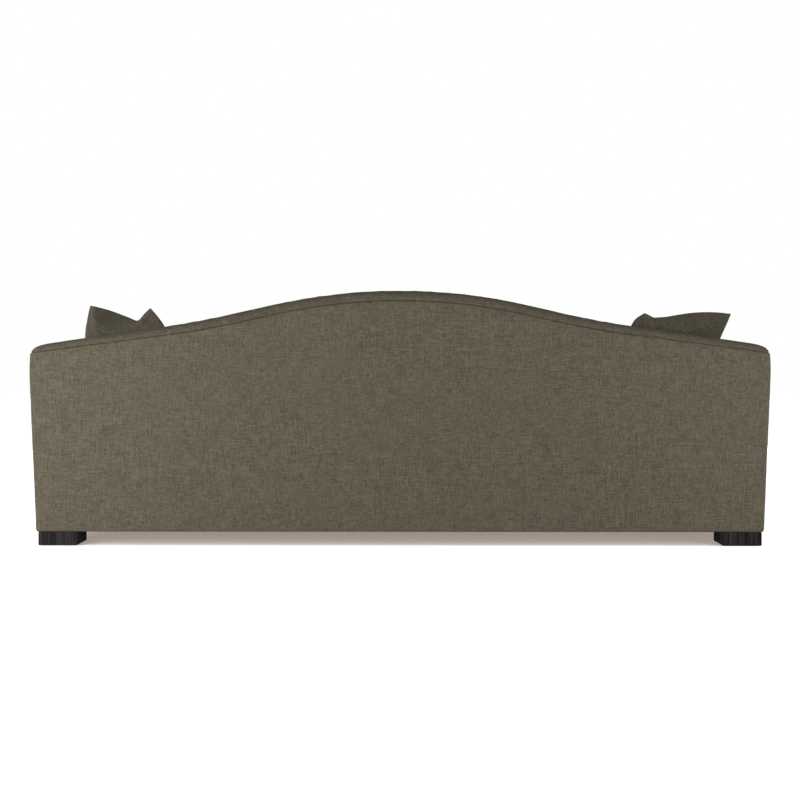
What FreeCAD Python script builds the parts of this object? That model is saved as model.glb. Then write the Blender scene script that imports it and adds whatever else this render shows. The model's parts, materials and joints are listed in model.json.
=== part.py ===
"""Camelback sofa: serpentine back, thin flared arms, three seat cushions, two pillows.

Millimetres. +Z is up, the front faces -Y, and +X is on the left hand of a person
who sits in the sofa. The origin is on the floor, under the middle of the object.
Every sub-part is written to its own file in parts/.
"""
import FreeCAD, Part
import math
import os

Vector = FreeCAD.Vector

# Overall size
overall_width = 2640.0
overall_height = 911.0
overall_depth = 965.0
foot_height = 50.0

# Camel outline of the back, from the middle of the hump outwards (slopes in degrees)
hump_radius = 2075.0
hump_slope = 13.0
flank_length = 134.0
valley_radius = 2786.0
tail_slope = 8.15
shoulder_radius = 195.0
shoulder_slope = 22.6
corner_radius = 26.0
side_top_slope = 83.0
side_radius = 500.0
side_lean = 2.45
plumb = 90.0

# Upholstered back
back_top_depth = 140.0
back_rake = 13.0
seam_drop = 36.5
seam_taper = 0.55
band_rear_round = 22.0
band_front_round = 16.0
back_pad_thickness = 50.0
outer_back_thickness = 10.0
panel_edge_round = 8.0

# Arms
arm_width_at_floor = 101.7
arm_flare = 2.3
arm_width_at_top = 100.0
arm_rear_drop = 16.0
arm_fall = 50.0
arm_cross_fall = 8.0
arm_inside_padding = 25.0
arm_top_padding = 30.0
arm_wrap = 45.0
outer_arm_thickness = 12.0
arm_front_thickness = 12.0
arm_inner_round = 30.0
arm_outer_round = 20.0
arm_front_round = 8.0
arm_side_setback = 1.0

# Frame of plywood and hardwood
board = 25.0
back_post_width = 40.0
arm_post_depth = 39.0
arm_rail_height = 25.0
back_rail_height = 90.0
lower_rail_height = 80.0
seat_rail_top = 260.0
stretcher_height = 100.0
stretcher_drop = 60.0
stretcher_spacing = 600.0
rib_spacing = 600.0
rib_hole_share = 0.5
rib_hole_places = (0.3, 0.6)
corner_block_leg = 90.0
corner_block_height = 70.0
corner_block_rise = 50.0

# Seat deck and webbing
strap_width = 50.0
strap_thickness = 1.5
front_to_back_straps = 13
side_to_side_straps = 5
back_straps = 11
strap_bearing = 18.0
strap_slope_run = 18.0
deck_thickness = 22.0
border_thickness = 18.0
border_setback = 8.0
border_round = 12.0
dust_cover_thickness = 1.2

# Feet and their fasteners
foot_side = 139.0
foot_inset = 6.0
foot_chamfer = 2.0
glide_side = 110.0
glide_thickness = 2.0
bolt_diameter = 8.0
bolt_foot_depth = 36.0
bolt_slit_ease = 2.0
tee_nut_barrel = 10.0
tee_nut_barrel_length = 14.0
tee_nut_flange = 22.0
tee_nut_flange_thickness = 1.5

# Seat cushions
cushion_gap = 1.0
cushion_arm_gap = 1.5
cushion_back_gap = 2.0
cushion_rest_gap = 0.4
cushion_boxing = 172.0
cushion_crown = 24.0
cushion_end_crown = 10.0
cushion_front_bulge = 12.0
cushion_rear_bulge = 6.0
cushion_draw_in = 7.0
cushion_front_overhang = 6.0
cushion_cover_thickness = 2.0

# Throw pillows
pillow_width = 410.0
pillow_fullness = 150.0
pillow_corner_fullness = 14.0
pillow_cover_thickness = 1.5
pillow_seam_margin = 5.0
pillow_rest_gap = 1.0
pillow_panels = 12
pillow_left_turn = 46.6
pillow_left_outer_height = 424.0
pillow_left_inner_height = 399.0
pillow_left_arm_gap = 17.0
pillow_left_back_gap = 18.0
pillow_left_outer_lean = 4.0
pillow_left_inner_lean = 21.0
pillow_left_dip = 45.0
pillow_right_turn = 30.6
pillow_right_outer_height = 388.0
pillow_right_inner_height = 385.0
pillow_right_arm_gap = -28.0
pillow_right_back_gap = 18.0
pillow_right_outer_lean = 29.0
pillow_right_inner_lean = 25.0
pillow_right_dip = 16.0

# Places that follow from the sizes
half_width = overall_width / 2
rear_face = overall_depth / 2
front_face = -overall_depth / 2
rake = math.tan(math.radians(back_rake))
flare = math.tan(math.radians(arm_flare))
panel_front = rear_face - outer_back_thickness
arm_front_inside = front_face + arm_front_thickness
border_front = front_face + border_setback
border_rear = border_front + border_thickness
frame_bottom = foot_height + dust_cover_thickness
plate_top = frame_bottom + board
front_rail_rear = border_rear + board
deck_bottom = seat_rail_top + 2 * strap_thickness
deck_top = deck_bottom + deck_thickness
far = 2 * (overall_width + overall_depth + overall_height)


class Pen:
    """Draws tangent lines and arcs in the XZ plane, heading outwards from the middle."""

    def __init__(self, height):
        self.x, self.z, self.slope = 0.0, height, 0.0
        self.edges = []

    def point(self):
        return Vector(self.x, 0, self.z)

    def line_to(self, x, z):
        start = self.point()
        self.x, self.z = x, z
        self.edges.append(Part.LineSegment(start, self.point()).toShape())

    def line(self, length):
        angle = math.radians(self.slope)
        self.line_to(self.x + length * math.cos(angle), self.z - length * math.sin(angle))

    def arc(self, radius, slope):
        """Bends to the given slope: down round a bulge, or up round a hollow."""
        hand = 1.0 if slope > self.slope else -1.0
        first, last = math.radians(self.slope), math.radians(slope)
        centre_x = self.x - hand * radius * math.sin(first)
        centre_z = self.z - hand * radius * math.cos(first)

        def on_arc(angle):
            return Vector(centre_x + hand * radius * math.sin(angle), 0,
                          centre_z + hand * radius * math.cos(angle))

        start, middle, end = self.point(), on_arc((first + last) / 2), on_arc(last)
        self.edges.append(Part.Arc(start, middle, end).toShape())
        self.x, self.z, self.slope = end.x, end.z, slope


def tail_length():
    """Length of the straight tail that brings the sides to the overall width."""
    def reach(radius, first, last):
        return radius * (math.sin(math.radians(last)) - math.sin(math.radians(first)))

    used = (reach(hump_radius, 0, hump_slope)
            + flank_length * math.cos(math.radians(hump_slope))
            - reach(valley_radius, hump_slope, tail_slope)
            + reach(shoulder_radius, tail_slope, shoulder_slope)
            + reach(corner_radius, shoulder_slope, side_top_slope)
            + reach(side_radius, side_top_slope, plumb))
    return (half_width - used) / math.cos(math.radians(tail_slope))


def mirrored_face(pen):
    """Face between the pen's line and its mirror image, closed along the bottom."""
    pen.line_to(0, pen.z)
    edges = pen.edges + [edge.mirror(Vector(0, 0, 0), Vector(1, 0, 0)) for edge in pen.edges[:-1]]
    bottom = pen.edges[-1].mirror(Vector(0, 0, 0), Vector(1, 0, 0))
    return Part.Face(Part.Wire(Part.sortEdges(edges + [bottom])[0]))


def silhouette(inset, front, rear):
    """The whole outline seen from behind, drawn in by inset, from front to rear in Y."""
    pen = Pen(overall_height - inset)
    pen.arc(hump_radius - inset, hump_slope)
    pen.line(flank_length)
    pen.arc(valley_radius + inset, tail_slope)
    pen.line(tail_length())
    pen.arc(shoulder_radius - inset, shoulder_slope)
    pen.arc(corner_radius - inset, side_top_slope)
    pen.arc(side_radius - inset, plumb + side_lean)
    pen.line((pen.z - foot_height) / math.cos(math.radians(side_lean)))
    face = mirrored_face(pen)
    face.translate(Vector(0, front, 0))
    return face.extrude(Vector(0, rear - front, 0)).removeSplitter()


def under_seam(lowered):
    """Everything below the seam of the top band, or below that seam lowered."""
    drop = seam_drop + lowered
    pen = Pen(overall_height - drop)
    pen.arc(hump_radius - drop, hump_slope - seam_taper)
    pen.line(flank_length)
    pen.arc(valley_radius + drop, tail_slope - seam_taper)
    pen.line(tail_length() + 2 * (shoulder_radius + corner_radius))
    pen.line_to(pen.x, 0)
    face = mirrored_face(pen)
    face.translate(Vector(0, -far / 2, 0))
    return face.extrude(Vector(0, far, 0)).removeSplitter()


def box(x, y, z):
    """Box between the pairs of limits in X, Y and Z."""
    return Part.makeBox(x[1] - x[0], y[1] - y[0], z[1] - z[0], Vector(x[0], y[0], z[0]))


def beyond(point, normal):
    """Half of space on the side of the plane that its normal points to."""
    block = Part.makeBox(far, far, far, Vector(-far / 2, -far / 2, 0))
    block.Placement = FreeCAD.Placement(point, FreeCAD.Rotation(Vector(0, 0, 1), normal))
    return block


def square_plate(centre, side, height):
    """Square block round an upright axis."""
    half = side / 2
    return box((centre.x - half, centre.x + half), (centre.y - half, centre.y + half), height)


def inner_back_y(z):
    """Y of the upholstered face of the back at a height."""
    return rear_face - back_top_depth - (overall_height - z) * rake


def behind_back_face(offset):
    """Space behind the raked face of the back, moved back square to it by offset."""
    normal = Vector(0, 1, -rake).normalize()
    point = Vector(0, inner_back_y(0), 0) + normal * offset
    return beyond(point, normal)


def raked_layer(near, away):
    """Layer of the back between two depths behind its upholstered face."""
    return behind_back_face(near).cut(behind_back_face(away))


def arm_inner_x(z):
    """X of the inside face of the left arm at a height."""
    return bottom_half_width() - arm_width_at_floor + (z - foot_height) * flare


def bottom_half_width():
    """X of the outline at the underside of the body."""
    pen = Pen(overall_height)
    pen.arc(hump_radius, hump_slope)
    pen.line(flank_length)
    pen.arc(valley_radius, tail_slope)
    pen.line(tail_length())
    pen.arc(shoulder_radius, shoulder_slope)
    pen.arc(corner_radius, side_top_slope)
    pen.arc(side_radius, plumb + side_lean)
    return pen.x - (pen.z - foot_height) * math.tan(math.radians(side_lean))


def outside_arm_face(offset):
    """Space on the arm's side of its inside face, moved outwards by offset."""
    normal = Vector(1, 0, -flare).normalize()
    point = Vector(arm_inner_x(0), 0, 0) + normal * offset
    return beyond(point, normal)


def inside_arm_side():
    """Space on the inner side of the straight lower side of the body, carried upwards."""
    normal = Vector(-1, 0, math.tan(math.radians(side_lean))).normalize()
    return beyond(Vector(bottom_half_width(), 0, foot_height), normal)


def outline_height(x):
    """Height of the top of the outline at a distance from the middle."""
    probe = Part.LineSegment(Vector(x, 0, 0), Vector(x, 0, far)).toShape()
    return silhouette(0, -1, 1).common(probe).BoundBox.ZMax


arm_rear_height = outline_height(half_width - arm_width_at_top) - arm_rear_drop
arm_front_height = arm_rear_height - arm_fall


def arm_top_z(y):
    """Height of the inner edge of the arm's top before rounding."""
    rear_y = inner_back_y(arm_rear_height)
    share = (rear_y - y) / (rear_y - front_face)
    return arm_rear_height - arm_fall * share


def above_arm_top(drop):
    """Space over the sloping top of the left arm, lowered by drop."""
    x = arm_inner_x(arm_rear_height)
    along = (arm_top_z(rear_face) - arm_top_z(front_face)) / overall_depth
    across = -math.tan(math.radians(arm_cross_fall))
    normal = Vector(-across, -along, 1).normalize()
    point = Vector(x, 0, arm_top_z(0)) - normal * drop
    return beyond(point, normal)


def mirrored(shape):
    """The same piece on the other side of the sofa."""
    return shape.mirror(Vector(0, 0, 0), Vector(1, 0, 0))


def pick_edges(shape, test):
    """Edges whose middle point and direction there pass the test."""
    found = []
    for edge in shape.Edges:
        parameter = (edge.FirstParameter + edge.LastParameter) / 2
        if test(edge.valueAt(parameter), edge.tangentAt(parameter)):
            found.append(edge)
    return found


def rounded(shape, radius, test):
    """The shape with the chosen edges rounded."""
    return shape.makeFillet(radius, pick_edges(shape, test))


# Frame
side_rail_outer = arm_inner_x(seat_rail_top) + board * 0.8
side_rail_inner = side_rail_outer - board
strap_depth = back_pad_thickness + strap_thickness
rail_depth = strap_depth + board
deck_rail_rear = inner_back_y(deck_bottom) + rail_depth / math.cos(math.radians(back_rake))
deck_rail_front = deck_rail_rear - board
rear_rail_front = panel_front - board
post_outer = side_rail_outer + back_post_width
block_corners = ((front_rail_rear, 1), (deck_rail_front, -1))


def arm_cavity():
    """Hollow of the left arm, between its padding and its outer panels."""
    hollow = silhouette(outer_arm_thickness, arm_front_inside, panel_front)
    hollow = hollow.common(outside_arm_face(arm_inside_padding))
    hollow = hollow.cut(above_arm_top(arm_top_padding)).cut(behind_back_face(0).cut(under_seam(0)))
    rail_zone = box((0, side_rail_outer), (-far, far), (0, seat_rail_top))
    below_plate = box((0, far), (-far, far), (0, plate_top))
    return hollow.cut(rail_zone).cut(below_plate)


def make_seat_frame():
    """Rails, stretchers, base plates and corner blocks of the seat."""
    across = (-side_rail_inner, side_rail_inner)
    height = (frame_bottom, seat_rail_top)
    parts = {
        "front_seat_rail": box(across, (border_rear, front_rail_rear), height),
        "deck_rear_rail": box(across, (deck_rail_front, deck_rail_rear), height),
        "rear_seat_rail": box(across, (rear_rail_front, panel_front), height),
    }
    side_rail = box((side_rail_inner, side_rail_outer), (border_rear, panel_front),
                    (plate_top, seat_rail_top))
    plate = silhouette(outer_arm_thickness, arm_front_inside, panel_front)
    plate = plate.common(box((side_rail_inner, far), (-far, far), (frame_bottom, plate_top)))
    for y in (foot_centre[1], -foot_centre[1]):
        centre = Vector(foot_centre[0], y, 0)
        plate = plate.cut(Part.makeCylinder(tee_nut_barrel / 2, far, centre))
        plate = plate.cut(square_plate(centre, tee_nut_flange, (flange_bottom, plate_top)))
    parts["arm_base_plate_left"], parts["arm_base_plate_right"] = plate, mirrored(plate)
    top = seat_rail_top - stretcher_drop
    parts["side_seat_rail_left"], parts["side_seat_rail_right"] = side_rail, mirrored(side_rail)
    for number in (1, 2, 3):
        middle = (number - 2) * stretcher_spacing
        parts["seat_stretcher_%d" % number] = box(
            (middle - board / 2, middle + board / 2), (front_rail_rear, deck_rail_front),
            (top - stretcher_height, top))
    return parts


def corner_block(y, hand):
    """Triangular block in the corner of the left side rail and a cross rail."""
    corner = Vector(side_rail_inner, y, frame_bottom + corner_block_rise)
    leg_x, leg_y = Vector(-corner_block_leg, 0, 0), Vector(0, hand * corner_block_leg, 0)
    outline = Part.makePolygon([corner, corner + leg_x, corner + leg_y, corner])
    return Part.Face(outline).extrude(Vector(0, 0, corner_block_height))


def make_corner_blocks():
    """Four glued corner blocks under the seat."""
    blocks = [corner_block(y, hand) for y, hand in block_corners]
    return {"corner_blocks": Part.makeCompound(blocks + [mirrored(block) for block in blocks])}


def upright(x, width):
    """Upright board of the back, raked in front and plumb behind."""
    slab = box((x - width / 2, x + width / 2), (deck_rail_rear, rear_rail_front),
               (frame_bottom, overall_height))
    return slab.common(behind_back_face(rail_depth)).common(under_seam(0))


def rib(x):
    """Plywood rib of the back with its lightening holes."""
    slab = upright(x, board)
    for share in rib_hole_places:
        z = seat_rail_top + (arm_rear_height - seat_rail_top) * share
        front = inner_back_y(z) + rail_depth / math.cos(math.radians(back_rake))
        y = (front + rear_rail_front) / 2
        radius = (rear_rail_front - front) * rib_hole_share / 2
        hole = Part.makeCylinder(radius, far, Vector(-far / 2, y, z), Vector(1, 0, 0))
        slab = slab.cut(hole)
    return slab


def make_back_frame():
    """Camel-curved rails, ribs and posts of the back."""
    ends = box((-post_outer, post_outer), (-far, far), (0, far))
    camel = under_seam(0).cut(under_seam(back_rail_height)).common(ends)
    lower = box((-post_outer, post_outer), (-far, far), (deck_bottom, deck_bottom + lower_rail_height))
    rear_zone = box((-far, far), (rear_rail_front, panel_front), (0, far))
    parts = {
        "back_top_rail_front": camel.common(raked_layer(strap_depth, rail_depth)),
        "back_top_rail_rear": camel.common(rear_zone),
        "back_lower_rail": lower.common(raked_layer(strap_depth, rail_depth)),
    }
    for number in (1, 2, 3):
        parts["back_rib_%d" % number] = rib((number - 2) * rib_spacing)
    post = upright((side_rail_outer + post_outer) / 2, back_post_width)
    post = post.common(box((0, far), (-far, far), (plate_top, far)))
    parts["back_post_left"], parts["back_post_right"] = post, mirrored(post)
    return parts


def make_arm_frame():
    """Front posts and top rails that fill the hollow of each arm from side to side."""
    hollow = arm_cavity()
    post = hollow.common(box((0, far), (-far, arm_front_inside + arm_post_depth), (0, far)))
    rail = hollow.cut(behind_back_face(strap_depth))
    rail = rail.common(above_arm_top(arm_top_padding + arm_rail_height))
    rail = rail.cut(post)
    return {"arm_front_post_left": post, "arm_front_post_right": mirrored(post),
            "arm_top_rail_left": rail, "arm_top_rail_right": mirrored(rail)}


# Webbing
def evenly_spaced(count, first, last):
    """Middles of count bands that share the space between two ends."""
    pitch = (last - first) / count
    return [first + pitch * (index + 0.5) for index in range(count)]


def woven_strap(x, crossings, over_first):
    """Front-to-back strap that passes over and under the side-to-side straps."""
    start, end = border_rear + board - strap_bearing, deck_rail_front + strap_bearing
    level = over_first
    lower = [Vector(x, start, seat_rail_top)]
    for y in crossings:
        lift = strap_thickness if level else -strap_thickness
        flat = strap_width / 2
        for along, rise in ((-flat - strap_slope_run, 0), (-flat, lift),
                            (flat, lift), (flat + strap_slope_run, 0)):
            lower.append(Vector(x, y + along, seat_rail_top + rise))
        level = not level
    lower.append(Vector(x, end, seat_rail_top))
    upper = [point + Vector(0, 0, strap_thickness) for point in reversed(lower)]
    side = Part.Face(Part.makePolygon(lower + upper + lower[:1]))
    side.translate(Vector(-strap_width / 2, 0, 0))
    return side.extrude(Vector(strap_width, 0, 0))


def make_webbing():
    """Interlaced straps under the seat deck and upright straps behind the back pad."""
    crossings = evenly_spaced(side_to_side_straps, front_rail_rear, deck_rail_front)
    reach = side_rail_inner + strap_bearing
    level = (seat_rail_top, seat_rail_top + strap_thickness)
    cross = [box((-reach, reach), (y - strap_width / 2, y + strap_width / 2), level)
             for y in crossings]
    columns = evenly_spaced(front_to_back_straps, -side_rail_inner, side_rail_inner)
    long = [woven_strap(x, crossings, index % 2 == 0) for index, x in enumerate(columns)]
    layer = raked_layer(back_pad_thickness, strap_depth).common(under_seam(0))
    layer = layer.cut(box((-far, far), (-far, far), (-far, deck_bottom)))
    upright = [layer.common(box((x - strap_width / 2, x + strap_width / 2), (-far, far), (0, far)))
               for x in evenly_spaced(back_straps, -side_rail_inner, side_rail_inner)]
    return {"seat_webbing_side_to_side": Part.makeCompound(cross),
            "seat_webbing_front_to_back": Part.makeCompound(long),
            "back_webbing": Part.makeCompound(upright)}


# Upholstery that stays on the frame
def between_arms():
    """Space between the inside faces of the arms."""
    space = box((-far / 2, far / 2), (-far, far), (-far, far))
    return space.cut(outside_arm_face(0)).cut(mirrored(outside_arm_face(0)))


def make_back_upholstery():
    """Top band, outer panel and inner pad of the back."""
    block = silhouette(0, -rear_face, rear_face).common(behind_back_face(0))
    block = rounded(block, band_rear_round, on_rear_rim)
    block = rounded(block, band_front_round, on_front_rim)
    band = block.cut(under_seam(0))
    panel = silhouette(0, panel_front, rear_face).common(under_seam(0))
    panel = rounded(panel, panel_edge_round, on_bottom_corner)
    panel = rounded(panel, panel_edge_round, on_panel_rim)
    pad = under_seam(0).common(raked_layer(0, back_pad_thickness)).common(between_arms())
    pad = pad.cut(box((-far, far), (-far, far), (-far, deck_bottom)))
    return {"back_top_band": band, "outer_back_panel": panel, "inner_back_pad": pad}


def on_rear_rim(point, direction):
    return abs(point.y - rear_face) < 0.01 and point.z > foot_height + 1


def on_front_rim(point, direction):
    return abs(point.y - inner_back_y(point.z)) < 0.01 and point.z > foot_height + 1


def on_bottom_corner(point, direction):
    return abs(direction.y) > 0.99 and point.z < foot_height + 1


def on_panel_rim(point, direction):
    """The sides and bottom of the outer panel, but not its seam with the band."""
    on_face = abs(point.y - rear_face) < 0.01
    return on_face and (point.z < foot_height + 2 * panel_edge_round or abs(direction.z) > 0.5)


def arm_block():
    """Left arm as one rounded block, from its front face to the back."""
    block = box((0, half_width - arm_side_setback), (front_face, rear_face),
                (foot_height, overall_height))
    block = block.common(outside_arm_face(0)).common(inside_arm_side())
    block = block.cut(above_arm_top(0)).cut(behind_back_face(0))

    def along_top(point, direction):
        return abs(direction.y) > 0.9 and point.z > arm_front_height - arm_top_padding

    def inner(point, direction):
        return along_top(point, direction) and point.x < arm_inner_x(point.z) + 1

    def outer(point, direction):
        return along_top(point, direction) and point.x > arm_inner_x(point.z) + 1

    def front_rim(point, direction):
        return abs(point.y - front_face) < 0.01 and point.z > foot_height + 1

    block = rounded(block, arm_inner_round, inner)
    block = rounded(block, arm_outer_round, outer)
    return rounded(block, arm_front_round, front_rim)


def make_arm_upholstery():
    """Pad, outer panel and front panel of each arm."""
    block = arm_block()
    front = block.common(box((-far, far), (-far, arm_front_inside), (-far, far)))
    shell = silhouette(0, arm_front_inside, panel_front)
    shell = shell.cut(silhouette(outer_arm_thickness, -far, far))
    shell = shell.common(box((half_width / 2, far), (-far, far), (-far, far)))
    over_wrap = above_arm_top(arm_wrap).cut(behind_back_face(0))
    panel = shell.common(under_seam(0).fuse(far_front())).cut(over_wrap)
    panel = rounded(panel, panel_edge_round, on_outer_bottom_edge)
    pad = block.cut(front).cut(panel).cut(arm_cavity())
    below = box((-far, far), (-far, far), (-far, deck_bottom))
    pad = pad.cut(below)
    parts = {}
    for name, shape in (("arm_pad", pad), ("outer_arm_panel", panel), ("arm_front_panel", front)):
        parts[name + "_left"], parts[name + "_right"] = shape, mirrored(shape)
    return parts


def far_front():
    """Space in front of the raked face of the back."""
    return box((-far / 2, far / 2), (-far / 2, far / 2), (-far / 2, far / 2)).cut(behind_back_face(0))


def on_outer_bottom_edge(point, direction):
    return abs(direction.y) > 0.99 and point.z < foot_height + 1 and point.x > bottom_half_width() - 1


def make_seat_upholstery():
    """Deck, front border and the cloth that closes the underside."""
    space = between_arms()
    deck = box((-far, far), (border_rear, rear_face), (deck_bottom, deck_top))
    deck = deck.common(space).cut(behind_back_face(0))
    border = box((-far, far), (border_front, border_rear), (foot_height, deck_top)).common(space)

    def top_front(point, direction):
        return abs(direction.x) > 0.99 and point.z > deck_top - 1 and point.y < border_front + 1

    border = rounded(border, border_round, top_front)
    cloth = silhouette(outer_arm_thickness, arm_front_inside, panel_front)
    cloth = cloth.common(box((-far, far), (-far, far), (foot_height, frame_bottom)))
    cloth = cloth.cut(box((-far, far), (-far, border_rear), (0, far)).common(space))
    for x in (foot_centre[0], -foot_centre[0]):
        for y in (foot_centre[1], -foot_centre[1]):
            slit = square_plate(Vector(x, y, 0), bolt_diameter + 2 * bolt_slit_ease, (0, far))
            cloth = cloth.cut(slit)
    return {"seat_deck": deck, "front_border": border, "dust_cover": cloth}


# Feet
foot_centre = (bottom_half_width() - foot_inset - foot_side / 2,
               rear_face - foot_inset - foot_side / 2)
bolt_bottom = foot_height - bolt_foot_depth
nut_bottom = plate_top - tee_nut_barrel_length
flange_bottom = plate_top - tee_nut_flange_thickness


def make_feet():
    """Block feet with their glides, hanger bolts and tee nuts."""
    parts, glides, bolts, nuts = {}, [], [], []
    for side, x in (("left", foot_centre[0]), ("right", -foot_centre[0])):
        for end, y in (("rear", foot_centre[1]), ("front", -foot_centre[1])):
            centre = Vector(x, y, 0)
            foot = square_plate(centre, foot_side, (glide_thickness, foot_height))
            foot = foot.makeChamfer(foot_chamfer, pick_edges(foot, not_on_top))
            glide = square_plate(centre, glide_side, (0, glide_thickness))
            bolt_length = flange_bottom - bolt_bottom
            bolt = Part.makeCylinder(bolt_diameter / 2, bolt_length, centre + Vector(0, 0, bolt_bottom))
            barrel = Part.makeCylinder(tee_nut_barrel / 2, tee_nut_barrel_length,
                                       centre + Vector(0, 0, nut_bottom))
            flange = square_plate(centre, tee_nut_flange, (flange_bottom, plate_top))
            parts["foot_%s_%s" % (end, side)] = foot.cut(bolt)
            glides.append(glide)
            bolts.append(bolt)
            nuts.append(barrel.fuse(flange).cut(bolt).removeSplitter())
    parts["foot_glides"] = Part.makeCompound(glides)
    parts["foot_bolts"] = Part.makeCompound(bolts)
    parts["foot_tee_nuts"] = Part.makeCompound(nuts)
    return parts


def not_on_top(point, direction):
    return point.z < foot_height - 0.01


# Seat cushions
cushion_width = (2 * arm_inner_x(deck_top) - 2 * cushion_arm_gap - 2 * cushion_gap) / 3
cushion_pitch = cushion_width + cushion_gap
cushion_front = border_front - cushion_front_overhang
cushion_base = deck_top + cushion_rest_gap
cushion_share = (0.0, 0.12, 0.5, 0.88, 1.0)


def cushion_section(x, share, inset):
    """Outline of a cushion in a plane of constant X: flat below, raked at the back."""
    plump = 1 - (2 * share - 1) ** 2
    draw = cushion_draw_in * (1 - plump)
    front = cushion_front + cushion_front_bulge + draw + inset
    bottom, top = cushion_base + inset, cushion_base + cushion_boxing - inset
    shy = cushion_back_gap + cushion_rear_bulge + draw + inset
    rear_bottom, rear_top = inner_back_y(bottom) - shy, inner_back_y(top) - shy
    crown = cushion_end_crown + (cushion_crown - cushion_end_crown) * plump
    corners = [Vector(x, front, bottom), Vector(x, front, top),
               Vector(x, rear_top, top), Vector(x, rear_bottom, bottom)]
    middles = [Vector(x, front - cushion_front_bulge, (bottom + top) / 2),
               Vector(x, (front + rear_top) / 2, top + crown),
               Vector(x, (rear_bottom + rear_top) / 2 + cushion_rear_bulge, (bottom + top) / 2)]
    edges = [Part.Arc(corners[i], middles[i], corners[i + 1]).toShape() for i in range(3)]
    edges.append(Part.LineSegment(corners[3], corners[0]).toShape())
    return Part.Wire(edges)


def cushion_form(middle_x):
    """Crowned cushion with drawn-in ends, as its cover shows it."""
    first = middle_x - cushion_width / 2
    sections = [cushion_section(first + cushion_width * share, share, 0)
                for share in cushion_share]
    return Part.makeLoft(sections, True, True)


def cushion_core(middle_x):
    """Foam block of one section from end to end, inside the cover and its fibre wrap."""
    first = middle_x - cushion_width / 2 + cushion_cover_thickness
    section = Part.Face(cushion_section(first, 0, cushion_cover_thickness))
    return section.extrude(Vector(cushion_width - 2 * cushion_cover_thickness, 0, 0))


def make_cushions():
    """Three seat cushions, each a wrapped cover round a foam core."""
    parts = {}
    for name, place in (("left", 1), ("middle", 0), ("right", -1)):
        core = cushion_core(place * cushion_pitch)
        cover = cushion_form(place * cushion_pitch).cut(core)
        parts["seat_cushion_core_" + name] = core
        parts["seat_cushion_cover_" + name] = cover
    return parts


class PillowPlace:
    """Where a throw pillow stands: its two top corners, its leans and its top edge."""

    def __init__(self, hand, turn, heights, gaps, leans, fall):
        outer_z, inner_z = (cushion_base + cushion_boxing + height for height in heights)
        angle = math.radians(turn)
        inner_y = inner_back_y(inner_z) - gaps[1]
        outer_x = arm_inner_x(arm_rear_height) - gaps[0]
        self.outer = Vector(hand * outer_x, inner_y - pillow_width * math.sin(angle), outer_z)
        inner_x = outer_x - pillow_width * math.cos(angle)
        self.inner = Vector(hand * inner_x, inner_y, inner_z)
        self.forward = Vector(-hand * math.sin(angle), -math.cos(angle), 0)
        self.leans, self.fall, self.hand = leans, fall, hand


pillow_share = (0.0, 0.22, 0.5, 0.8, 1.0)
pillow_plumpness = (0.0, 0.8, 1.0, 0.74, 0.0)
chopped_fall = (0.0, 0.27, 0.67, 1.0, 0.0)
creased_fall = (0.0, -0.25, 0.12, 1.0, 0.0)


def surface_height(shape, point):
    """Height of the top of a shape under or over a point."""
    probe = Part.LineSegment(Vector(point.x, point.y, 0), Vector(point.x, point.y, far)).toShape()
    return shape.common(probe).BoundBox.ZMax


def pillow_section(place, seat, index, inset):
    """Points of a lens across the pillow, from its top edge round the edge on the seat."""
    share, plump = pillow_share[index], pillow_plumpness[index]
    along = place.inner - place.outer
    top = place.outer + along * share - Vector(0, 0, place.fall[index])
    lean = math.radians(place.leans[0] + (place.leans[1] - place.leans[0]) * share)
    down = place.forward * math.sin(lean) - Vector(0, 0, math.cos(lean))
    face = place.forward * math.cos(lean) + Vector(0, 0, math.sin(lean))
    landing = top + down * ((top.z - cushion_base - cushion_boxing) / math.cos(lean))
    rest = surface_height(seat, landing) + pillow_rest_gap
    bottom = top + down * ((top.z - rest) / math.cos(lean))
    margin = pillow_seam_margin if inset else 0.0
    top, bottom = top + down * margin, bottom - down * margin
    fullness = pillow_corner_fullness + (pillow_fullness - pillow_corner_fullness) * plump
    bulge = face * (fullness / 2 - inset)
    middle = (top + bottom) * 0.5
    shift = along * ((0.5 - share) * 2 * margin / along.Length)
    points = [point + shift for point in (top, middle + bulge, bottom, middle - bulge)]
    front = Part.Arc(points[0], points[1], points[2]).toShape()
    back = Part.Arc(points[2], points[3], points[0]).toShape()
    return front.discretize(pillow_panels + 1)[:-1] + back.discretize(pillow_panels + 1)[:-1]


def panelled(rings):
    """Solid with flat triangular panels between rings of points and a flat cap at each end."""
    panels = [Part.Face(Part.makePolygon(ring + ring[:1])) for ring in (rings[0], rings[-1])]
    for near, away in zip(rings, rings[1:]):
        for i in range(len(near)):
            for corners in ((near[i - 1], near[i], away[i]), (near[i - 1], away[i], away[i - 1])):
                panels.append(Part.Face(Part.makePolygon(corners + corners[:1])))
    return Part.Solid(Part.Shell(panels))


def pillow_form(place, seat, inset):
    """Knife-edged pillow through its lenses, or the insert inside its cover."""
    return panelled([pillow_section(place, seat, index, inset)
                     for index in range(len(pillow_share))])


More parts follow.
